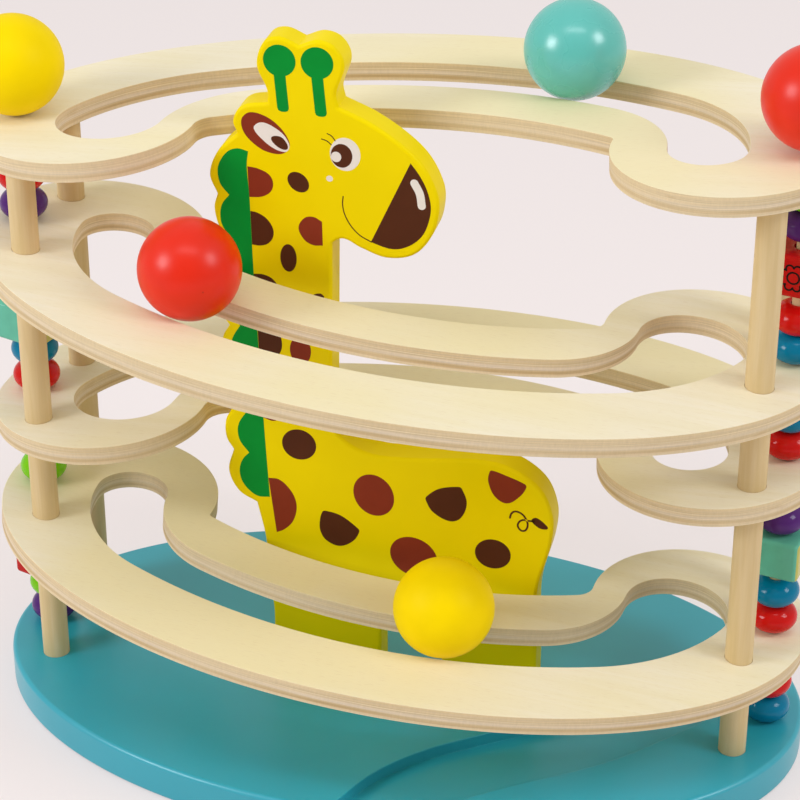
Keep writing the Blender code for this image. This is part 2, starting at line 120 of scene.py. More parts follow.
# a range is a pattern's low and high values and what they become, in the order of a Map Range node's sockets
plywoodLook = {
    "shift": 30,  # each track is sawn from another part of the sheet
    "figure": (110, 9, 9),  # mm along the grain and across it
    "faceTones": [(0.30, "#EDE2C2"), (0.50, "#F0E6CA"), (0.68, "#F2E9D2")],
    "clouds": 130,  # mm, how far apart the yellower and whiter parts of a sheet lie
    # the clouds' yellower tone, which also carries the painted warm bounce light near a track's middle
    "cloudAndBounceTone": "#F0E3B4",
    "cloudAndBounceRange": (0.36, 0.62, 0, 0.85),
    "paintedBounceRange": (50 * mm, 165 * mm, 0.1, -0.13),  # painted warm bounce light: the face is painted yellower near a track's middle and paler towards its ends
    "pores": (5, 0.5, 0.5),  # real ones are finer and wouldn't show
    "poreTone": "#D3B98D",
    "poreRange": (0.6, 0.75, 0, 0.25),
    "speckSpacing": (60, 44, 44),
    "speckTone": "#7A5C3C",
    "speckRange": (0.008, 0.016, 0.7, 0),
    "thickness": 9,
    # the bands of the edge, from the underside up to the face: pale, brown and pinkish plies that the
    # sander left uneven, and one paler seam
    "plies": [
        (0.00, "#E8D6B8"), (0.09, "#E0CAA4"), (0.16, "#DAC29A"), (0.20, "#C2A475"), (0.31, "#C4A87A"),
        (0.35, "#D6BF98"), (0.38, "#CDB68F"), (0.41, "#DFCDB4"), (0.52, "#E1CFB6"), (0.57, "#D9C4A2"),
        (0.63, "#D4BC94"), (0.66, "#ECDDBC"), (0.69, "#D3BB91"), (0.77, "#D9C29A"), (0.86, "#DBC49C"),
        (0.93, "#DDC497"), (1.00, "#E4CEA6")],
    "waves": (28, 28, 10),
    "waveHeight": 0.08,  # of the thickness
    "plainTone": "#E4D0AA",  # where the sander has rubbed the bands together
    "plainRuns": (70, 70, 30),
    "plainRange": (0.36, 0.6, 0.1, 0.55),
    "sawMarks": (0.9, 0.9, 3),
    "sawWeight": 0.3,
    "streaks": (36, 36, 0.26),
    "streakRange": (0.42, 0.88, 0.88, 1.12),
    "smudges": (26, 26, 5),
    "smudgeTone": "#B8935F",
    "smudgeRange": (0.66, 0.82, 0, 0.5),
    "faceRange": (0.5, 0.85, 0, 1),  # how far a surface looks up where the edge turns into the face
    "roughRange": (0, 1, 0.7, 0.5),  # from the edge to the face
    "relief": (0.35, 0.06 * mm),
    "ior": 1.45,
    "shine": 0.25,
}


def birchPlywood(look):
    # birch veneers peeled, glued crosswise, routed and sanded under a thin matt varnish: the face is pale
    # and quiet, and the edge shows thin pale, brown and pinkish bands with fine lines and a few brown marks
    finish, tree, shader = newFinish("birch plywood, routed and sanded")
    coords = addNode(tree, "TexCoord")
    place = coords.outputs["Object"]
    chance = addNode(tree, "ObjectInfo").outputs["Random"]
    shift = addNode(tree, "Math", {0: chance, 1: look["shift"]}, operation="MULTIPLY").outputs[0]
    figure = pattern(tree, "TexNoise", place, look["figure"], {"Detail": 4, "Distortion": 0.8}, shift)
    face = addNode(tree, "ValToRGB", {"Fac": figure.outputs[0]}, look["faceTones"]).outputs[0]
    clouds = pattern(tree, "TexNoise", place, [look["clouds"]] * 3, {"Detail": 2}, shift)
    spots = addNode(tree, "SeparateXYZ", {"Vector": place})
    away = addNode(tree, "Math", {0: spots.outputs["X"]}, operation="ABSOLUTE")
    # painted warm bounce light: the clouds' yellow tone is laid on more near the track's middle and less at
    # its ends
    heart = addNode(tree, "MapRange", enumerate((away.outputs[0], *look["paintedBounceRange"])))
    heart = addNode(tree, "Math", {0: clouds.outputs[0], 1: heart.outputs[0]})
    face = tinted(tree, face, heart.outputs[0], look["cloudAndBounceRange"], look["cloudAndBounceTone"])
    pores = pattern(tree, "TexNoise", place, look["pores"], {"Detail": 1})
    face = tinted(tree, face, pores.outputs[0], look["poreRange"], look["poreTone"])
    cells = pattern(tree, "TexVoronoi", place, look["speckSpacing"])
    face = tinted(tree, face, cells.outputs["Distance"], look["speckRange"], look["speckTone"])
    # the edge's bands lie across the thickness and waver a little
    wave = look["waveHeight"]
    through = addNode(tree, "MapRange", enumerate((
        spots.outputs["Z"], -look["thickness"] * mm, 0, -wave / 2, 1 - wave / 2)))
    waves = pattern(tree, "TexNoise", place, look["waves"], {"Detail": 2})
    shifted = addNode(tree, "Math", {
        0: waves.outputs[0], 1: wave, 2: through.outputs[0]}, operation="MULTIPLY_ADD")
    bands = addNode(tree, "ValToRGB", {"Fac": shifted.outputs[0]}, look["plies"])
    runs = pattern(tree, "TexNoise", place, look["plainRuns"], {"Detail": 1}, shift)
    edge = tinted(tree, bands.outputs[0], runs.outputs[0], look["plainRange"], look["plainTone"])
    marks = pattern(tree, "TexNoise", place, look["sawMarks"], {"Detail": 2})
    streaks = pattern(tree, "TexNoise", place, look["streaks"], {"Detail": 3})
    lines = addNode(tree, "Math", {
        0: marks.outputs[0], 1: look["sawWeight"], 2: streaks.outputs[0]}, operation="MULTIPLY_ADD")
    shade = addNode(tree, "MapRange", enumerate((lines.outputs[0], *look["streakRange"])))
    edge = addNode(tree, "HueSaturation", {"Color": edge, "Value": shade.outputs[0]}).outputs[0]
    smudges = pattern(tree, "TexNoise", place, look["smudges"], {"Detail": 3})
    edge = tinted(tree, edge, smudges.outputs[0], look["smudgeRange"], look["smudgeTone"])
    # face or edge, by the way the surface looks
    way = addNode(tree, "SeparateXYZ", {"Vector": coords.outputs["Normal"]})
    upright = addNode(tree, "Math", {0: way.outputs["Z"]}, operation="ABSOLUTE")
    flat = addNode(tree, "MapRange", enumerate((upright.outputs[0], *look["faceRange"])))
    colour = addNode(tree, "Mix", {0: flat.outputs[0], 6: edge, 7: face}, data_type="RGBA").outputs[2]
    gloss = addNode(tree, "MapRange", enumerate((flat.outputs[0], *look["roughRange"]))).outputs[0]
    height = addNode(tree, "Mix", {
        0: flat.outputs[0], 2: streaks.outputs[0], 3: pores.outputs[0]}, data_type="FLOAT").outputs[0]
    dress(tree, shader, colour, gloss, height, look["relief"], look["ior"], look["shine"])
    return finish


dowelLook = {
    "shift": 40,  # no two dowels have the same streaks
    "figure": (3.2, 3.2, 45),  # mm, streaks along the dowel
    "tones": [(0.28, "#DAC08D"), (0.45, "#DDC392"), (0.58, "#DFC697"), (0.72, "#E2CA9D")],
    "fibres": (0.45, 0.45, 20),  # coarser than real ones, so that they show
    "fibreRange": (0.3, 0.7, 0.98, 1.015),
    "roughRange": (0, 1, 0.62, 0.48),
    "relief": (0.15, 0.05 * mm),
    "ior": 1.45,
    "shine": 0.25,
}


def beechDowel(look):
    # a dowel rod run through a cutter and sanded: long soft streaks and fine fibres along it
    finish, tree, shader = newFinish("beech dowel, planed round and sanded")
    place = addNode(tree, "TexCoord").outputs["Object"]
    chance = addNode(tree, "ObjectInfo").outputs["Random"]
    shift = addNode(tree, "Math", {0: chance, 1: look["shift"]}, operation="MULTIPLY").outputs[0]
    figure = pattern(tree, "TexNoise", place, look["figure"], {"Detail": 3, "Distortion": 0.4}, shift)
    tone = addNode(tree, "ValToRGB", {"Fac": figure.outputs[0]}, look["tones"])
    fibres = pattern(tree, "TexNoise", place, look["fibres"], {"Detail": 2}, shift)
    shade = addNode(tree, "MapRange", enumerate((fibres.outputs[0], *look["fibreRange"])))
    colour = addNode(tree, "HueSaturation", {"Color": tone.outputs[0], "Value": shade.outputs[0]}).outputs[0]
    gloss = addNode(tree, "MapRange", enumerate((fibres.outputs[0], *look["roughRange"]))).outputs[0]
    dress(tree, shader, colour, gloss, fibres.outputs[0], look["relief"], look["ior"], look["shine"])
    return finish


coat = {
    "usual": (0.3, 0.7),  # between these lies most of a noise
    "endRange": (0.66, 0.76, 0, 1),  # how far a side looks along X where the other colour begins
    "pitShift": 20,  # no two pieces have their pinholes in the same places
    "pitRange": (0.02, 0.04, 0.7, 0),
    "peelStrength": 0.5,
    "ior": 1.5,
}


def paint(name, look):
    # colour drifts a little over the piece, the gloss is uneven, and the coat dries with fine orange peel
    finish, tree, shader = newFinish(name)
    coords = addNode(tree, "TexCoord")
    place = coords.outputs["Object"]
    drift = pattern(tree, "TexNoise", place, [look["drift"]] * 3, {"Detail": 3}).outputs[0]
    shade = addNode(tree, "MapRange", enumerate((
        drift, *coat["usual"], 1 - look["vary"], 1 + look["vary"])))
    colour = addNode(tree, "HueSaturation", {"Color": look["colour"], "Value": shade.outputs[0]}).outputs[0]
    if "endTone" in look:  # two opposite sides have another colour
        way = addNode(tree, "SeparateXYZ", {"Vector": coords.outputs["Normal"]})
        side = addNode(tree, "Math", {0: way.outputs["X"]}, operation="ABSOLUTE")
        colour = tinted(tree, colour, side.outputs[0], coat["endRange"], look["endTone"])
    if "pits" in look:  # pinholes in the coat, each a dark point
        chance = addNode(tree, "ObjectInfo").outputs["Random"]
        shift = addNode(tree, "Math", {0: chance, 1: coat["pitShift"]}, operation="MULTIPLY").outputs[0]
        cells = pattern(tree, "TexVoronoi", place, [look["pits"]] * 3, shift=shift)
        colour = tinted(tree, colour, cells.outputs["Distance"], coat["pitRange"], look["pitTone"])
    peel = pattern(tree, "TexNoise", place, [look["peel"]] * 3, {"Detail": 2})
    gloss = addNode(tree, "MapRange", enumerate((drift, *coat["usual"], *look["roughness"]))).outputs[0]
    relief = (coat["peelStrength"], look["depth"] * mm)
    dress(tree, shader, colour, gloss, peel.outputs[0], relief, coat["ior"], look["shine"])
    return finish


# in each coat: drift, peel and pits in mm, roughness where it is dullest and glossiest
# satin enamel sprayed on sanded board: even colour, a soft sheen and a shallow orange peel
sprayed = {"drift": 45, "vary": 0.03, "roughness": (0.42, 0.34), "peel": 1.6, "depth": 0.03, "shine": 0.12}
# satin lacquer on turned and dipped beech balls: a blurred sheen with fine peel and a few pinholes
dipped = {
    "drift": 14, "vary": 0.03, "roughness": (0.3, 0.24), "peel": 1.4, "depth": 0.02, "shine": 0.5, "pits": 22}
# gloss lacquer tumbled on small beads: crisp glints on a slightly wavy coat
tumbled = {"drift": 7, "vary": 0.05, "roughness": (0.14, 0.09), "peel": 2.2, "depth": 0.02, "shine": 0.2}
# screen ink: flat and thin, a little duller than the enamel under it
inked = {"drift": 12, "vary": 0.05, "roughness": (0.5, 0.42), "peel": 0.7, "depth": 0.012, "shine": 0.1}

finishes = {
    "birch_plywood": birchPlywood(plywoodLook),
    "beech": beechDowel(dowelLook),
    "base_blue": paint("blue enamel, sprayed gloss", sprayed | {
        "colour": "#2CA7BA", "roughness": (0.34, 0.28), "shine": 0.65}),
    "giraffe_yellow": paint("yellow enamel, sprayed satin", sprayed | {"colour": "#F5DC00", "shine": 0.06}),
    "ball_teal": paint("teal lacquer, dipped satin", dipped | {
        "colour": "#5CC0B6", "pitTone": "#2E6B62", "shine": 0.8}),
    "ball_red": paint("red lacquer, dipped satin", dipped | {
        "colour": "#E82604", "pitTone": "#7A150E", "roughness": (0.36, 0.3), "shine": 0.36}),
    "ball_yellow": paint("yellow lacquer, dipped matt", dipped | {
        "colour": "#FCDB00", "pitTone": "#A88A00", "roughness": (0.5, 0.44), "shine": 0.06}),
    "bead_red": paint("red lacquer, tumbled gloss", tumbled | {"colour": "#D01410"}),
    "bead_blue": paint("blue lacquer, tumbled gloss", tumbled | {"colour": "#00799E"}),
    "bead_purple": paint("purple lacquer, tumbled gloss", tumbled | {"colour": "#552876"}),
    "bead_green": paint("green lacquer, tumbled gloss", tumbled | {"colour": "#7CCC10"}),
    "block_red": paint("brick red lacquer, tumbled gloss", tumbled | {"colour": "#C41A18"}),
    "block_teal": paint("sea green lacquer, tumbled gloss", tumbled | {
        "colour": "#66BDA2", "endTone": "#C3BE63"}),
}
inks = {
    "green": paint("green screen ink", inked | {"colour": "#009032"}),
    "red_brown": paint("red brown screen ink", inked | {"colour": "#88341F"}),
    "dark_brown": paint("dark brown screen ink", inked | {"colour": "#542B18"}),
    "white": paint("warm white screen ink", inked | {"colour": "#ECE5DC"}),
    "black": paint("black screen ink", inked | {"colour": "#1C1512"}),
}
print("finishes made:", len(finishes) + len(inks))


# drawing and cutting

chordError = 0.02  # mm, how far a facet may stand off its arc
weld = 0.002  # mm, closer points are made one
capSteps = 8  # facets of a drawn line's round end
shading = {"crease": 35, "flatWeight": 80}  # degrees that stay sharp, and how far large faces rule


def arcPoints(centre, start, end, turn):  # turn 1 is anticlockwise; the end point is left to what follows
    spoke = start - centre
    angle = (math.atan2(*(end - centre).yx) - math.atan2(*spoke.yx)) * turn % math.tau
    steps = max(3, math.ceil(angle / (2 * math.acos(1 - chordError / spoke.length))))
    return [centre + Matrix.Rotation(turn * angle * i / steps, 2) @ spoke for i in range(steps)]


def ellipse(x, y, wide, high, turn=0, steps=48):  # half axes, turn in degrees
    tilt = Matrix.Rotation(math.radians(turn), 2)
    angles = [math.tau * i / steps for i in range(steps)]
    return [Vector((x, y)) + tilt @ Vector((wide * math.cos(t), high * math.sin(t))) for t in angles]


def crossing(centreA, radiusA, centreB, radiusB):  # of two circles, the crossing nearer the toy's middle
    apart = centreB - centreA
    reach = (radiusA ** 2 - radiusB ** 2 + apart.length_squared) / (2 * apart.length)
    across = Vector((-apart.y, apart.x)).normalized() * math.sqrt(radiusA ** 2 - reach ** 2)
    foot = centreA + apart.normalized() * reach
    return min(foot + across, foot - across, key=lambda point: abs(point.x))


def toward(centre, point, radius):
    return centre + (point - centre).normalized() * radius


def smoothRun(knots, closed=False, step=1.2):  # a smooth line through the knots, without the last one if open
    knots = [Vector(knot) for knot in knots]
    total = len(knots)
    points = []
    for i in range(total if closed else total - 1):
        first, last = knots[i], knots[(i + 1) % total]
        before = knots[i - 1 if closed else max(i - 1, 0)]
        after = knots[(i + 2) % total if closed else min(i + 2, total - 1)]
        reach = (last - first).length / 3
        leave = first + (last - before).normalized() * reach
        arrive = last - (after - first).normalized() * reach
        count = max(3, math.ceil((last - first).length / step)) + 1
        line = interpolate_bezier(first.to_3d(), leave.to_3d(), arrive.to_3d(), last.to_3d(), count)
        points += [point.to_2d() for point in line][:-1]
    return points


def stroke(knots, width):  # the outline of a drawn line with round ends
    line = smoothRun(knots, step=0.6) + [Vector(knots[-1])]
    ways = [(line[min(i + 1, len(line) - 1)] - line[max(i - 1, 0)]).normalized() for i in range(len(line))]
    sides = [Vector((-way.y, way.x)) * width / 2 for way in ways]
    left = [point + side for point, side in zip(line, sides)]
    right = [point - side for point, side in zip(line, sides)][::-1]
    turns = [Matrix.Rotation(-math.pi * i / capSteps, 2) for i in range(1, capSteps)]
    endCap = [line[-1] + turn @ sides[-1] for turn in turns]
    startCap = [line[0] - turn @ sides[0] for turn in turns]
    return left + endCap + right + startCap


def evaluated(piece):
    bpy.context.view_layer.update()
    return bpy.data.meshes.new_from_object(piece.evaluated_get(bpy.context.evaluated_depsgraph_get()))


def remade(mesh, change):  # runs a change on the mesh's bmesh and puts the normals right
    shape = bmesh.new()
    shape.from_mesh(mesh)
    change(shape)
    bmesh.ops.recalc_face_normals(shape, faces=shape.faces)
    shape.to_mesh(mesh)
    shape.free()
    return mesh


def sawn(loops, thickness, edge=0, steps=0):
    # a board about z = 0, sawn to the first loop with the others as holes, and its edges rounded over
    outline = bpy.data.curves.new("outline", "CURVE")
    outline.dimensions = "2D"
    outline.fill_mode = "BOTH"
    outline.extrude = thickness / 2 - edge
    outline.bevel_depth = edge
    outline.bevel_resolution = steps
    outline.offset = -edge
    for loop in loops:
        spline = outline.splines.new("POLY")
        spline.points.add(len(loop) - 1)
        for point, place in zip(spline.points, loop):
            point.co = (*place, 0, 1)
        spline.use_cyclic_u = True
    pattern = bpy.data.objects.new("pattern", outline)
    scene.collection.objects.link(pattern)
    mesh = evaluated(pattern)
    bpy.data.objects.remove(pattern)
    bpy.data.curves.remove(outline)
    return remade(mesh, lambda shape: bmesh.ops.remove_doubles(shape, verts=shape.verts, dist=weld))


def turned(profile, steps, closed=False):
    # spins (radius, height) points round Z; a closed profile is a ring, such as a bead with its bore
    def spin(shape):
        rings = []
        for radius, height in profile:
            angles = [math.tau * i / steps for i in range(steps if radius else 1)]
            ring = [(radius * math.cos(t), radius * math.sin(t), height) for t in angles]
            rings.append([shape.verts.new(point) for point in ring])
        for low, high in zip(rings, rings[1:] + rings[:1] * closed):
            for i in range(steps):
                j = (i + 1) % steps
                corners = [low[i % len(low)], low[j % len(low)], high[j % len(high)], high[i % len(high)]]
                shape.faces.new(list(dict.fromkeys(corners)))
    return remade(bpy.data.meshes.new("turned"), spin)


def cut(mesh, *cutters):  # takes the cutters out of the mesh
    work = [bpy.data.objects.new("work", each) for each in (mesh, *cutters)]
    for piece in work:
        scene.collection.objects.link(piece)
    for tool in work[1:]:
        saw = work[0].modifiers.new("saw", "BOOLEAN")
        saw.operation = "DIFFERENCE"
        saw.solver = "EXACT"
        saw.object = tool
    result = evaluated(work[0])
    for piece in work:
        bpy.data.objects.remove(piece)
    return result


def joined(meshes):
    def add(shape):
        for mesh in meshes:
            shape.from_mesh(mesh)
    return remade(bpy.data.meshes.new("joined"), add)


def moved(mesh, place):  # place in mm
    copy = mesh.copy()
    copy.transform(place)
    return copy


def setPiece(name, mesh, finish, body, place):
    # scales the mesh to metres, stands it in its place and lets it ride on its body
    mesh.transform(Matrix.Scale(mm, 4))
    mesh.materials.clear()
    mesh.materials.append(finish)
    mesh.shade_smooth()
    mesh.set_sharp_from_angle(angle=math.radians(shading["crease"]))
    piece = bpy.data.objects.new(name, mesh)
    scene.collection.objects.link(piece)
    piece.matrix_world = place
    flats = piece.modifiers.new("flats stay flat", "WEIGHTED_NORMAL")
    flats.keep_sharp = True
    flats.weight = shading["flatWeight"]
    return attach(piece, body)


def setFor(node, slot, mesh, place=Matrix()):  # a piece that stands for a CAD node
    body = node if node in frame["bodies"] else "frame"
    piece = setPiece(node + "_wood", mesh, finishes[slot], body, place)
    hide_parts(node)


def spotOf(node):  # the middle of a CAD node
    low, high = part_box(node)
    return (low + high) / 2


# tracks

oval = {"halfLength": 192, "halfWidth": 117, "steps": 192}

track = {
    "thickness": 9,
    "edge": 0.3,  # the arris is only just sanded
    "edgeSteps": 3,
    "slotWidth": 28,
    "outerRail": 37,
    "runEnd": 100,  # so far to each side, the slot's curve has gone back by the rise
    "runRise": 20.9,
    "drop": Vector((131.5, 0)),
    "dropRadius": 24,
    "dropFillet": 47,
    "dropOuterBend": 95,
    "stop": Vector((-133, 4)),
    "stopRadius": 17,
    "stopFillet": 47,
    "stopOuterBend": 65,
    "lobeRadius": 50,
    "lobeStart": math.radians(4),
    "dropCorner": 10,
    "stopCorner": 2.5,
    "hollowBack": (81, 8.1),  # a point that the hollow back edge passes through
    "postHalfSpan": 163.5,
    "baseTop": 18,
    # turned half round or not, height over the base at the high posts, drop to the low ones
    "levels": {
        "track_top": (True, 285.1, 17.8),
        "track_upper": (False, 214.9, 26.7),
        "track_lower": (True, 139.8, 11.0),
        "track_bottom": (False, 77.6, 27.6),
    },
}
runMiddle = oval["halfWidth"] - track["outerRail"] - track["slotWidth"] / 2
runRadius = (track["runEnd"] ** 2 + track["runRise"] ** 2) / (2 * track["runRise"])
runCentre = Vector((0, runRadius - runMiddle))


def ovalPoint(angle):
    return Vector((oval["halfLength"] * math.cos(angle), oval["halfWidth"] * math.sin(angle)))


def ovalPoints(start, end, steps):
    return [ovalPoint(start + (end - start) * i / steps) for i in range(steps)]


def slotOutline():
    drop, dropRadius = track["drop"], track["dropRadius"]
    stop, stopRadius = track["stop"], track["stopRadius"]
    inner, outer = runRadius - track["slotWidth"] / 2, runRadius + track["slotWidth"] / 2
    dropIn, dropOut = track["dropFillet"], track["dropOuterBend"]
    stopIn, stopOut = track["stopFillet"], track["stopOuterBend"]
    innerDrop = crossing(runCentre, inner - dropIn, drop, dropRadius + dropIn)
    outerDrop = crossing(runCentre, outer - dropOut, drop, dropOut - dropRadius)
    innerStop = crossing(runCentre, inner - stopIn, stop, stopRadius + stopIn)
    outerStop = crossing(runCentre, outer - stopOut, stop, stopOut - stopRadius)
    # the bends in the order that a router passes them, each with the point where it starts
    bends = [
        (runCentre, toward(runCentre, innerStop, inner), 1),
        (innerDrop, toward(runCentre, innerDrop, inner), 1),
        (drop, toward(innerDrop, drop, dropIn), -1),
        (outerDrop, toward(outerDrop, drop, dropOut), -1),
        (runCentre, toward(runCentre, outerDrop, outer), -1),
        (outerStop, toward(runCentre, outerStop, outer), -1),
        (stop, toward(outerStop, stop, stopOut), -1),
        (innerStop, toward(innerStop, stop, stopIn), 1),
    ]
    points = []
    for (centre, start, turn), (_, end, _) in zip(bends, bends[1:] + bends[:1]):
        points += arcPoints(centre, start, end, turn)
    return points


def trackOutline():
    angle, lobe = track["lobeStart"], track["lobeRadius"]
    leave = ovalPoint(angle)
    outward = Vector((math.cos(angle) / oval["halfLength"], math.sin(angle) / oval["halfWidth"])).normalized()
    lobeRight = leave - outward * lobe
    lobeLeft = Vector((-lobeRight.x, lobeRight.y))
    reach, offset = track["hollowBack"]
    back = math.hypot(reach, runCentre.y + offset)
    dropCorner, stopCorner = track["dropCorner"], track["stopCorner"]
    right = crossing(lobeRight, lobe + dropCorner, runCentre, back - dropCorner)
    left = crossing(lobeLeft, lobe + stopCorner, runCentre, back - stopCorner)
    lobeEnd, lobeStart = toward(lobeRight, right, lobe), toward(lobeLeft, left, lobe)
    backStart, backEnd = toward(runCentre, right, back), toward(runCentre, left, back)
    return (
        ovalPoints(math.pi - angle, math.tau + angle, oval["steps"] // 2)
        + arcPoints(lobeRight, leave, lobeEnd, 1)
        + arcPoints(right, lobeEnd, backStart, -1)
        + arcPoints(runCentre, backStart, backEnd, -1)
        + arcPoints(left, backEnd, lobeStart, -1)
        + arcPoints(lobeLeft, lobeStart, Vector((-leave.x, leave.y)), 1)
    )


def trackPlace(name, unit):  # unit is 1 for a place in mm and mm for one in metres
    half, high, drop = track["levels"][name]
    lift = Matrix.Translation((0, 0, (track["baseTop"] + high - drop / 2) * unit))
    tilt = math.atan(drop / (2 * track["postHalfSpan"]))
    return lift @ Matrix.Rotation(math.pi * half, 4, "Z") @ Matrix.Rotation(tilt, 4, "Y")


# the holes by their radius
dowels = {"postHole": 6.4, "rodHole": 3.3, "endGap": 0.3, "chamfer": 0.5, "sides": 48}


def drill(nodes, radius):  # holes for upright dowels, a little longer than the dowels
    gap = dowels["endGap"]
    holes = []
    for node in nodes:
        low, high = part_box(node)
        profile = [(0, 0), (radius, 0), (radius, (high.z - low.z) / mm + 2 * gap)]
        profile.append((0, profile[-1][1]))
        spot = Vector(((low.x + high.x) / 2, (low.y + high.y) / 2, low.z)) / mm
        holes.append(moved(turned(profile, dowels["sides"]), Matrix.Translation(spot - Vector((0, 0, gap)))))
    return joined(holes)


posts = ["post_front_left", "post_front_right", "post_back_left", "post_back_right"]
rods = ["bead_rod_left", "bead_rod_right"]
postHoles = drill(posts, dowels["postHole"])
rodHoles = drill(rods, dowels["rodHole"])
trackLoops = [trackOutline(), slotOutline()]
for name in track["levels"]:
    board = sawn(trackLoops, track["thickness"], track["edge"], track["edgeSteps"])
    board.transform(Matrix.Translation((0, 0, -track["thickness"] / 2)))
    home = trackPlace(name, 1).inverted()
    board = cut(board, moved(postHoles, home), moved(rodHoles, home))
    setFor(name, "birch_plywood", board, trackPlace(name, mm))
print("tracks sawn")


# base board

baseBoard = {
    "thickness": 18,
    "edge": 2.2,
    "edgeSteps": 5,
    "channelFloor": 12,  # mm over the underside
    "channelHalf": 20,  # half its width
    "channelStep": 2.5,
    "endTurns": 24,  # facets of the channel's round end
    "floorFillet": 0.15,
    "lip": 0.5,  # the channel's upper edge is eased
    "bendSteps": 5,
    "cutAbove": 10,  # how far the cutter stands above the board
    "channel": [(131.5, 0), (97.5, -37), (57.5, -66), (40, -80), (26, -97), (17, -117), (9, -137)],
    "tenons": [(-60, -7.3), (22, 67.5)],  # the giraffe's feet, left and right
    "tenonDepth": 9.3,
    "tenonGap": 0.3,
}


def channelOutline(half):
    middle = smoothRun(baseBoard["channel"], step=baseBoard["channelStep"])
    ways = [(b - a).normalized() for a, b in zip(middle, middle[1:])]
    aside = [Vector((-way.y, way.x)) * half for way in ways]
    right = [point - side for point, side in zip(middle, aside)]
    left = [point + side for point, side in zip(middle, aside)]
    start = Vector(baseBoard["channel"][0])
    count = baseBoard["endTurns"]
    turns = [Matrix.Rotation(-math.pi * i / count, 2) for i in range(1, count)]
    return right[::-1] + [start + turn @ (right[0] - start) for turn in turns] + left


def channelCutter():
    # walls between outlines of growing width: a filleted floor, an upright wall and an eased lip
    half, floor = baseBoard["channelHalf"], baseBoard["channelFloor"]
    fillet, lip = baseBoard["floorFillet"], baseBoard["lip"]
    steps = baseBoard["bendSteps"]
    quarter = [math.pi / 2 * i / steps for i in range(steps + 1)]
    levels = [(half - fillet + fillet * math.sin(t), floor + fillet - fillet * math.cos(t)) for t in quarter]
    top = baseBoard["thickness"]
    levels += [(half + lip - lip * math.cos(t), top - lip + lip * math.sin(t)) for t in quarter]
    levels.append((half + lip, top + baseBoard["cutAbove"]))

    def loft(shape):
        rings = []
        for width, height in levels:
            rings.append([shape.verts.new((*point, height)) for point in channelOutline(width)])
        for low, high in zip(rings, rings[1:]):
            for i in range(len(low)):
                j = (i + 1) % len(low)
                shape.faces.new((low[i], low[j], high[j], high[i]))
        shape.faces.new(rings[0])
        shape.faces.new(rings[-1])
    return remade(bpy.data.meshes.new("channel"), loft)


def mortises():
    gap, deep = baseBoard["tenonGap"], baseBoard["tenonDepth"]

    def pockets(shape):
        for left, right in baseBoard["tenons"]:
            size = (right - left + 2 * gap, giraffe["thickness"] + 2 * gap, 2 * deep)
            spot = Matrix.Translation(((left + right) / 2, 0, baseBoard["thickness"]))
            bmesh.ops.create_cube(shape, size=1, matrix=spot @ Matrix.Diagonal((*size, 1)))
    return remade(bpy.data.meshes.new("mortises"), pockets)


giraffe = {
    "thickness": 15,
    "edge": 1.8,
    "edgeSteps": 4,
    "tenon": 9,
    "archHeight": 25,
    "chest": [(-60, 25), (-63.2, 65.5), (-67, 84.6)],
    "maneFoot": [(-67, 84.6), (-75.6, 89.6), (-80.2, 100), (-77.5, 111.6)],
    "scallop": 21.52,
    "scallops": 6,
    "swell": 3.3,  # how far a scallop stands out, and between which heights
    "swellRun": (6, 15),
    "crown": [(-80.8, 240.72), (-84, 250), (-79.7, 261.5), (-70.8, 270.6)],
    "ear": [(-70.8, 270.6), (-72.6, 276.2), (-68.2, 283.5), (-56.8, 286.3)],
    "hornLeft": [(-56.8, 286.3), (-56.9, 292), (-61.2, 303), (-57.5, 314.1), (-50.7, 316.6), (-42.3, 313.6)],
    "hornRight": [(-42.3, 313.6), (-34, 316.6), (-26.3, 314.1), (-22.4, 306), (-26.2, 293), (-25.2, 287.2)],
    "head": [
        (-25.2, 287.2), (-11, 281.3), (3.5, 272.1), (12.6, 263.1), (18.4, 251.3), (19.2, 243), (16.6, 232.2),
        (8.4, 221.4), (-4, 218.3), (-15.8, 221.8), (-24, 225.3), (-29.6, 221.9)],
    "back": [
        (-29.9, 145), (-28.7, 130), (-22, 122.4), (-9.8, 118.1), (10, 118.9), (36, 122), (52, 120.6),
        (66.9, 111.2), (73.2, 97), (72.9, 83), (67, 55.5), (67.5, 25)],
}

rim = ovalPoints(0, math.tau, oval["steps"])
board = sawn([rim], baseBoard["thickness"], baseBoard["edge"], baseBoard["edgeSteps"])
board.transform(Matrix.Translation((0, 0, baseBoard["thickness"] / 2)))
board = cut(board, channelCutter(), mortises(), postHoles, rodHoles)
setFor("base_board", "base_blue", board)
print("base routed")


# giraffe

def giraffeOutline():
    (frontLeft, frontRight), (hindLeft, hindRight) = baseBoard["tenons"]
    ground, arch = -giraffe["tenon"], giraffe["archHeight"]
    mane = smoothRun(giraffe["maneFoot"])
    notchX, notchY = giraffe["maneFoot"][-1]
    swell, (rise, end) = giraffe["swell"], giraffe["swellRun"]
    for i in range(giraffe["scallops"]):
        low = notchY + giraffe["scallop"] * i
        lean = swell if i == giraffe["scallops"] - 1 else 0
        mane += smoothRun([
            (notchX, low), (notchX - swell, low + rise), (notchX - swell - lean / 2, low + end),
            (notchX - lean, low + giraffe["scallop"])])
    archRight, archLeft = Vector((hindLeft, arch)), Vector((frontRight, arch))
    runs = [smoothRun(giraffe[part]) for part in ("crown", "ear", "hornLeft", "hornRight", "head", "back")]
    return (
        [Vector((frontLeft, ground))] + smoothRun(giraffe["chest"]) + mane + sum(runs, [])
        + [Vector(giraffe["back"][-1]), Vector((hindRight, ground)), Vector((hindLeft, ground))]
        + arcPoints((archLeft + archRight) / 2, archRight, archLeft, 1)
        + [archLeft, Vector((frontRight, ground))]
    )


stand = Matrix.Translation((0, 0, track["baseTop"] * mm)) @ Matrix.Rotation(math.pi / 2, 4, "X")
board = sawn([giraffeOutline()], giraffe["thickness"], giraffe["edge"], giraffe["edgeSteps"])
setFor("giraffe_board", "giraffe_yellow", board, stand)

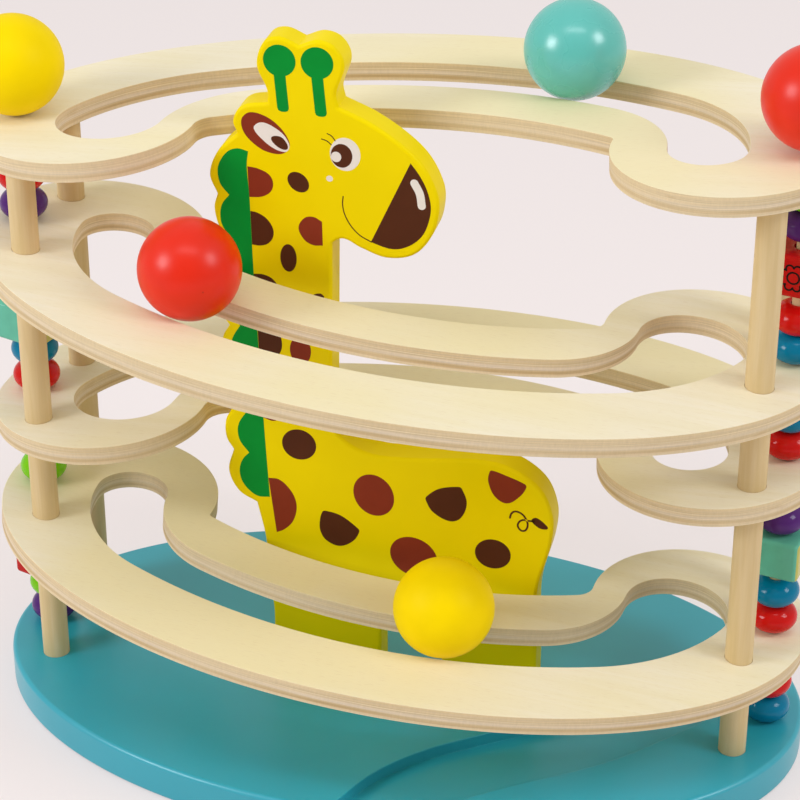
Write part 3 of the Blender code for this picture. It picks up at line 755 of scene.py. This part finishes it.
# printed marks on its front, by colour and by layer of ink, at heights over the floor
prints = {"green": [], "red_brown": [], "dark_brown": [], "white": []}
inkLayer = 0.06  # mm of ink for each pass of the screen, drawn thicker than real ink


def mark(colour, loop, layer=1):
    prints[colour].append((layer, [Vector((x, y - track["baseTop"])) for x, y in loop]))


def inkPlate(loops, face, layer=1):  # a patch of ink on a face at this height
    sunk = 0.1  # mm into the wood, so that no gap shows
    plate = sawn(loops, sunk + layer * inkLayer)
    return moved(plate, Matrix.Translation((0, 0, face + (layer * inkLayer - sunk) / 2)))


# the knob by its radius, the stem by half its width
hornMark = {"knob": 7.2, "stem": 2.6, "corner": 1.7, "cornerMiddle": 0.5, "steps": 40}


def horn(x, y, footX, footY):
    knob, stem, corner, middle, steps = hornMark.values()
    spread = math.degrees(math.asin(stem / knob))
    angles = [math.radians(-90 + spread + (360 - 2 * spread) * i / steps) for i in range(steps + 1)]
    rim = [Vector((x + knob * math.cos(t), y + knob * math.sin(t))) for t in angles]
    corners = [(0, corner), (middle, middle), (corner, 0)]  # from a side of the stem to its foot
    left = [(footX - stem + aside, footY + up) for aside, up in corners]
    right = [(footX + stem - aside, footY + up) for aside, up in corners[::-1]]
    return rim + left + right


def maneLoop():
    lobes = [
        [(-65.8, 280.9), (-70.5, 281.8), (-74.7, 280.2), (-78.2, 275.9), (-79.9, 271), (-79, 264.4),
         (-75, 259.2)],
        [(-75, 259.2), (-78.2, 254.9), (-79.4, 250), (-78.6, 244), (-74.3, 238.2)],
    ]
    notchX, notchY = -74.3, 238.2
    for nextX, nextY in ((-73, 216.6), (-72, 195.2), (-71, 173.4), (-70, 151.4), (-69.7, 129.4)):
        drop = nextY - notchY
        bulge = (notchX + nextX) / 2 - 5
        lobes.append([
            (notchX, notchY), (bulge + 1, notchY + 0.28 * drop), (bulge, notchY + 0.5 * drop),
            (bulge + 1, notchY + 0.74 * drop), (nextX, nextY)])
        notchX, notchY = nextX, nextY
    lobes.append([
        (-69.7, 129.4), (-72.8, 125.6), (-74.5, 120.2), (-73.8, 114.4), (-70.6, 109.6), (-66, 106.6),
        (-60.3, 106.9)])
    edge = [(-60.3, 106.9), (-62.4, 151), (-64.9, 222), (-65.8, 260), (-66.6, 274), (-65.8, 280.9)]
    return sum([smoothRun(lobe) for lobe in lobes], []) + smoothRun(edge)


def cutBlob(*knots):  # a round spot cut straight between its last knot and its first
    return smoothRun(knots) + [Vector(knots[-1])]


def blob(*knots):
    return smoothRun(knots, closed=True)


mark("green", maneLoop())
mark("green", horn(-50.7, 324.2, -49.5, 301))
mark("green", horn(-34.1, 324.6, -32.7, 300.4))
# ear, outside in
mark("red_brown", blob(
    (-64.4, 299.3), (-67.8, 296.8), (-68.5, 293.6), (-67.3, 289.5), (-64, 285.6), (-58.9, 282.2),
    (-53.7, 281), (-50, 281.5), (-47.5, 283.7), (-47, 286.6), (-49, 291), (-53.3, 295.6), (-58.5, 298.5)))
mark("white", blob(
    (-62.9, 291.9), (-61.2, 294.5), (-58.2, 295.1), (-54.1, 293.6), (-49.7, 290.5), (-47.6, 287.3),
    (-47, 284.8), (-48.1, 282.8), (-49.9, 282.3), (-53.6, 283.3), (-58, 286.2)), 2)
mark("dark_brown", blob(
    (-55.2, 288.3), (-53.6, 289.4), (-50.5, 289.1), (-48.3, 286.7), (-47.7, 284.4), (-48.8, 283.4),
    (-51.5, 284), (-54.2, 286.1)), 3)
# eye, lashes, cheek, smile and nose
mark("white", ellipse(-22.2, 284, 6.8, 7.7))
mark("dark_brown", ellipse(-23.8, 283.2, 4.8, 5.5), 2)
mark("white", ellipse(-26.2, 282.5, 2.3, 2.4), 3)
mark("white", ellipse(-29.3, 271.9, 1.5, 1.4))
mark("dark_brown", stroke([(-30.1, 292.9), (-28.1, 291.9), (-26.6, 289.9)], 0.45))
mark("dark_brown", stroke([(-32.6, 290.1), (-30.2, 289.4), (-28.3, 287.8)], 0.45))
mark("dark_brown", stroke([
    (-23.3, 264.1), (-23.6, 260.3), (-22.7, 255.7), (-19.9, 250.4), (-16, 246.4), (-10.8, 243.7)], 0.5))
mark("dark_brown", cutBlob(
    (6.7, 282.9), (10.7, 277.5), (13.9, 271.2), (15.7, 263.8), (15, 257), (12.4, 249.9), (8.1, 245.1),
    (2.5, 242), (-3.1, 241.5), (-11, 243.7)))
mark("white", stroke([(8.4, 273.8), (10.8, 269.1), (11.7, 263.4)], 3.6), 2)
# spots down the neck, those on the left cut by the mane
mark("red_brown", cutBlob(
    (-66.3, 273.8), (-61.5, 273.2), (-56.6, 270.9), (-54.8, 267), (-56, 262.8), (-60.1, 260), (-65.8, 259.2)))
mark("dark_brown", ellipse(-43.4, 268.7, 5.3, 4.2, -42))
mark("dark_brown", cutBlob(
    (-65.5, 252.5), (-62.5, 252.1), (-58.4, 249.8), (-55.5, 245.4), (-55.4, 241.2), (-57.7, 237.7),
    (-61.4, 236.2), (-65.2, 236.3)))
mark("red_brown", cutBlob(
    (-32.8, 239.5), (-37.1, 239.2), (-41.1, 241.3), (-43.7, 246.9), (-40.9, 251.9), (-36.8, 252.8),
    (-33, 250.9)))
mark("dark_brown", ellipse(-48.6, 231.6, 3.75, 6.7))
mark("dark_brown", cutBlob(
    (-64.9, 221.9), (-60.5, 222.1), (-56, 220.2), (-53.2, 215), (-54.5, 208.5), (-58.5, 205.5), (-64.4, 205)))
mark("dark_brown", cutBlob(
    (-32.6, 214.6), (-34.3, 215.8), (-38, 214.2), (-40.4, 208), (-39.3, 202.6), (-36, 200.3), (-32.6, 201)))
mark("dark_brown", cutBlob(
    (-63.9, 197.5), (-58.5, 196.8), (-54, 193.5), (-52.6, 189), (-53.4, 184), (-57, 179.8), (-63.4, 178.6)))
mark("red_brown", ellipse(-44, 186, 4.9, 7.2))
mark("red_brown", cutBlob(
    (-63, 164), (-57, 163.2), (-52.2, 159), (-51.6, 154.5), (-53.6, 150.4), (-57.5, 147.8), (-62.4, 149)))
# spots over the body
mark("dark_brown", ellipse(-45.6, 137, 8.1, 7.9))
mark("red_brown", cutBlob(
    (-60.7, 117.1), (-55.8, 117), (-51.2, 113.2), (-48.1, 107.7), (-47.5, 101.8), (-49.6, 94.8),
    (-53.7, 90.1), (-57.4, 88)))
mark("dark_brown", blob(
    (-34.9, 102.7), (-36.3, 97.5), (-36.2, 92.2), (-33.4, 87.3), (-27, 85), (-20.5, 88.6), (-17.4, 94.2),
    (-18.2, 96), (-26.2, 101.7), (-33, 103.2)))
mark("red_brown", ellipse(-10.4, 115, 9.5, 11, 18))
mark("dark_brown", blob(
    (14.2, 116), (14.4, 117.8), (20.3, 122.8), (29.5, 125.2), (31, 124.4), (33.4, 117), (30.7, 108.8),
    (25.6, 106.3), (17.6, 110.1)))
mark("red_brown", blob(
    (44.6, 136), (43.6, 134.6), (43.2, 130), (46.3, 122.7), (52, 119.7), (58.1, 124.4), (60.8, 129.4),
    (60, 131), (51.1, 134.3)))
mark("red_brown", ellipse(8.6, 84.4, 11.6, 10.2, -30))
mark("dark_brown", ellipse(46, 91.7, 8.4, 7.8))
mark("dark_brown", stroke([
    (53.6, 112.3), (54.2, 114.6), (55.9, 116), (58.5, 115.5), (60.6, 113.4), (61.9, 109.9), (61, 106.8),
    (59.1, 106.2), (57.4, 108.2), (57.7, 110.4), (59.6, 112), (62.8, 111.9), (64.7, 112.1)], 0.9))
mark("dark_brown", blob(
    (63.6, 112.3), (65.3, 114), (67.8, 113), (70, 111.1), (71.3, 109.1), (68.6, 108.4), (66, 109.5)))
for colour, marks in prints.items():
    plates = [inkPlate([loop], giraffe["thickness"] / 2, layer) for layer, loop in marks]
    setPiece("giraffe_print_" + colour, joined(plates), inks[colour], "frame", stand)
print("giraffe sawn and printed")


# posts, rods and balls

def dowel(node):
    low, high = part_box(node)
    radius, length = (high.y - low.y) / 2 / mm, (high.z - low.z) / mm
    chamfer = dowels["chamfer"]
    profile = [
        (0, 0), (radius - chamfer, 0), (radius, chamfer),
        (radius, length - chamfer), (radius - chamfer, length), (0, length)]
    spot = Vector(((low.x + high.x) / 2, (low.y + high.y) / 2, low.z))
    setFor(node, "beech", turned(profile, dowels["sides"]), Matrix.Translation(spot))


for node in posts + rods:
    dowel(node)

ball = {
    "radius": 22.5,
    "flat": 1.4,  # half width of the small flats that the lathe leaves
    "bore": 3.3,
    "boreDepth": 16,
    "rings": 40,
    "sides": 64,
    "colours": {
        "ball_teal": "ball_teal", "ball_red": "ball_red", "ball_yellow": "ball_yellow",
        "finial_left": "ball_yellow", "finial_right": "ball_red"},
    "turns": {"ball_teal": (0.5, 0.9, 0), "ball_red": (1.2, -0.4, 0), "ball_yellow": (0.8, 1.1, 0)},
}


def ballMesh(bored):
    radius, rings = ball["radius"], ball["rings"]
    low = math.asin((ball["bore"] if bored else ball["flat"]) / radius)
    high = math.pi - math.asin(ball["flat"] / radius)
    angles = [low + (high - low) * i / rings for i in range(rings + 1)]
    profile = [(radius * math.sin(t), -radius * math.cos(t)) for t in angles]
    start = [(0, profile[0][1])]
    if bored:
        depth = ball["boreDepth"] - radius
        start = [(0, depth), (ball["bore"], depth)]
    return turned(start + profile + [(0, profile[-1][1])], ball["sides"])


for node, slot in ball["colours"].items():
    turn = Matrix.Identity(4)
    for angle, axis in zip(ball["turns"].get(node, ()), "XYZ"):
        turn = Matrix.Rotation(angle, 4, axis) @ turn
    sphere = moved(ballMesh(node.startswith("finial")), turn)
    setFor(node, slot, sphere, Matrix.Translation(spotOf(node)))
print("dowels and balls turned")


# beads and blocks on the rods

bead = {"radius": 11, "height": 13.5, "flat": 5.5, "bore": 3.3, "ease": 0.5, "rings": 20, "sides": 56}


def beadMesh():
    half, bore, ease, rings = bead["height"] / 2, bead["bore"], bead["ease"], bead["rings"]
    flat = math.asin(bead["flat"] / bead["radius"])
    rise = half / math.cos(flat)
    angles = [flat + (math.pi - 2 * flat) * i / rings for i in range(rings + 1)]
    barrel = [(bead["radius"] * math.sin(t), rise * math.cos(t)) for t in angles]
    mouth = [(bore, half - ease), (bore + 0.3 * ease, half - 0.3 * ease), (bore + ease, half)]
    under = [(radius, -height) for radius, height in mouth[::-1]]
    return turned(mouth + barrel + under, bead["sides"], closed=True)


block = {
    "side": 25, "height": 19, "edge": 2, "edgeSteps": 4, "corner": 2.4, "cornerSteps": 6,
    "bore": 4, "boreSides": 40,
    "turn": {"left": -18, "right": -11},  # degrees about the rod
}
flower = {"petals": 8, "ring": 4.4, "petal": 2.1, "petalSteps": 12, "heart": 3, "line": 0.8}


def blockMesh():
    half, corner, steps = block["side"] / 2, block["corner"], block["cornerSteps"]
    loop = []
    for quarter in range(4):
        centre = Matrix.Rotation(math.pi / 2 * quarter, 2) @ Vector((half - corner, half - corner))
        angles = [math.pi / 2 * (quarter + i / steps) for i in range(steps + 1)]
        loop += [centre + Vector((math.cos(t), math.sin(t))) * corner for t in angles]
    bore, reach = block["bore"], block["height"]
    hole = turned([(0, -reach), (bore, -reach), (bore, reach), (0, reach)], block["boreSides"])
    return cut(sawn([loop], block["height"], block["edge"], block["edgeSteps"]), hole)


def scallops(reach):  # the rim of a ring of petals, each rounded to this radius
    ring, count, steps = flower["ring"], flower["petals"], flower["petalSteps"]
    loop = []
    for i in range(count * steps):
        aside = (i % steps / steps - 0.5) * math.tau / count
        away = ring * math.cos(aside) + math.sqrt(max(0, reach ** 2 - (ring * math.sin(aside)) ** 2))
        loop.append(Matrix.Rotation(math.tau * i / (count * steps), 2) @ Vector((away, 0)))
    return loop


def flowerMesh():  # the outline of a flower, on the front and the back of a block
    half, line, heart = block["side"] / 2, flower["line"], flower["heart"]
    rims = [scallops(flower["petal"]), scallops(flower["petal"] - line)]
    rings = [ellipse(0, 0, size, size) for size in (heart, heart - line)]
    upright = Matrix.Rotation(math.pi / 2, 4, "X")
    front = moved(joined([inkPlate(rims, half), inkPlate(rings, half)]), upright)
    return joined([front, moved(front, Matrix.Rotation(math.pi, 4, "Z"))])


for node in frame["nodes"]:
    kind, side, _, _, colour = (node.split("_") + [""] * 4)[:5]
    if kind == "bead" and colour:
        setFor(node, "bead_" + colour, beadMesh(), Matrix.Translation(spotOf(node)))
    elif kind == "block":
        turn = Matrix.Rotation(math.radians(block["turn"][side]), 4, "Z")
        place = Matrix.Translation(spotOf(node)) @ turn
        setFor(node, "block_" + colour, blockMesh(), place)
        if colour == "red":
            setPiece(node + "_print", flowerMesh(), inks["black"], node, place)
print("beads and blocks threaded")


# studio

studio = {
    "floor": "#FFF6F7",
    "floorLit": "#E8DFDC",
    "floorTooth": 2,  # mm, coarser than real paper, so that it shows
    "toothRange": (0, 1, 0.99, 1.01),
    "floorSide": 60,  # m
    "ownLight": 0.5,  # how much of its paleness the camera sees without the lamps
    "world": "#FFFCF7",
    "lampTone": "#F6F9FF",
    "worldStrength": (0.2, 0.12, 0.54),  # more from behind, more from above, and all round
    # where each lamp stands in m, its width and height in m, its power in W and its spread in degrees;
    # the left one has a grid, which keeps its light off the floor beside it
    "lamps": {
        "right softbox": ((1.68, -0.35, 1.43), (0.66, 0.66), 12, 180),
        "left softbox": ((-1.52, -1.23, 1.16), (0.75, 0.75), 9, 120),
        "overhead strip": ((0.13, -0.88, 2.3), (1.7, 0.24), 8, 180),
    },
    "aim": (0, 0, 0.17),
    "camera": (0.2482, -0.9999, 0.7344),
    "cameraTilt": 29.04,  # degrees below the horizon
    "cameraTurn": 13.93,
    "lens": 117.2,  # mm, on a sensor of this width
    "sensor": 36,
}

# matt paper sweep: the lamps show only its soft shadow, and its paleness is its own
paper, tree, shader = newFinish("matt paper")
coords = addNode(tree, "TexCoord")
tooth = pattern(tree, "TexNoise", coords.outputs["Object"], [studio["floorTooth"]] * 3, {"Detail": 2})
shade = addNode(tree, "MapRange", enumerate((tooth.outputs[0], *studio["toothRange"])))
colour = addNode(tree, "HueSaturation", {"Color": studio["floorLit"], "Value": shade.outputs[0]})
tree.links.new(colour.outputs[0], shader.inputs["Base Color"])
shader.inputs["Roughness"].default_value = 0.9
shader.inputs["Specular IOR Level"].default_value = 0
# what the camera sees, also in a reflection or through something clear
path = addNode(tree, "LightPath")
seen = addNode(tree, "Math", {
    0: path.outputs["Is Camera Ray"], 1: path.outputs["Is Glossy Ray"]}, operation="MAXIMUM")
seen = addNode(tree, "Math", {
    0: seen.outputs[0], 1: path.outputs["Is Transmission Ray"]}, operation="MAXIMUM")
glow = addNode(tree, "Emission", {"Color": studio["floor"], "Strength": 1})
share = addNode(tree, "Math", {0: seen.outputs[0], 1: studio["ownLight"]}, operation="MULTIPLY")
surface = addNode(tree, "MixShader", {0: share.outputs[0], 1: shader.outputs[0], 2: glow.outputs[0]})
tree.links.new(surface.outputs[0], tree.nodes["Material Output"].inputs["Surface"])
half = studio["floorSide"] / 2
corners = [(-half, -half, 0), (half, -half, 0), (half, half, 0), (-half, half, 0)]
sweep = bpy.data.meshes.new("paper_sweep")
sweep.from_pydata(corners, [], [(0, 1, 2, 3)])
sweep.materials.append(paper)
floor = bpy.data.objects.new("paper_sweep", sweep)
scene.collection.objects.link(floor)

world = bpy.data.worlds.new("studio")
scene.world = world
world.use_nodes = True
tree = world.node_tree
sky = tree.nodes["Background"]
sky.inputs["Color"].default_value = linear(studio["world"])
# the room is darker on the camera's side, as a studio is
back, above, around = studio["worldStrength"]
coords = addNode(tree, "TexCoord")
way = addNode(tree, "SeparateXYZ", {"Vector": coords.outputs["Generated"]})
level = addNode(tree, "Math", {0: way.outputs["Y"], 1: back, 2: around}, operation="MULTIPLY_ADD")
level = addNode(tree, "Math", {0: way.outputs["Z"], 1: above, 2: level.outputs[0]}, operation="MULTIPLY_ADD")
tree.links.new(level.outputs[0], sky.inputs["Strength"])

for name, (spot, (wide, high), power, beam) in studio["lamps"].items():
    lamp = bpy.data.lights.new(name, "AREA")
    lamp.shape = "RECTANGLE"
    lamp.size = wide
    lamp.size_y = high
    lamp.energy = power
    lamp.spread = math.radians(beam)
    lamp.color = linear(studio["lampTone"])[:3]
    softbox = bpy.data.objects.new(name, lamp)
    softbox.location = spot
    softbox.rotation_euler = (Vector(spot) - Vector(studio["aim"])).to_track_quat("Z", "Y").to_euler()
    scene.collection.objects.link(softbox)

lens = bpy.data.cameras.new("camera")
lens.lens = studio["lens"]
lens.sensor_width = studio["sensor"]
camera = bpy.data.objects.new("camera", lens)
camera.location = studio["camera"]
camera.rotation_euler = (math.radians(90 - studio["cameraTilt"]), 0, math.radians(studio["cameraTurn"]))
scene.collection.objects.link(camera)
scene.camera = camera
print("studio set")

bpy.context.view_layer.update()
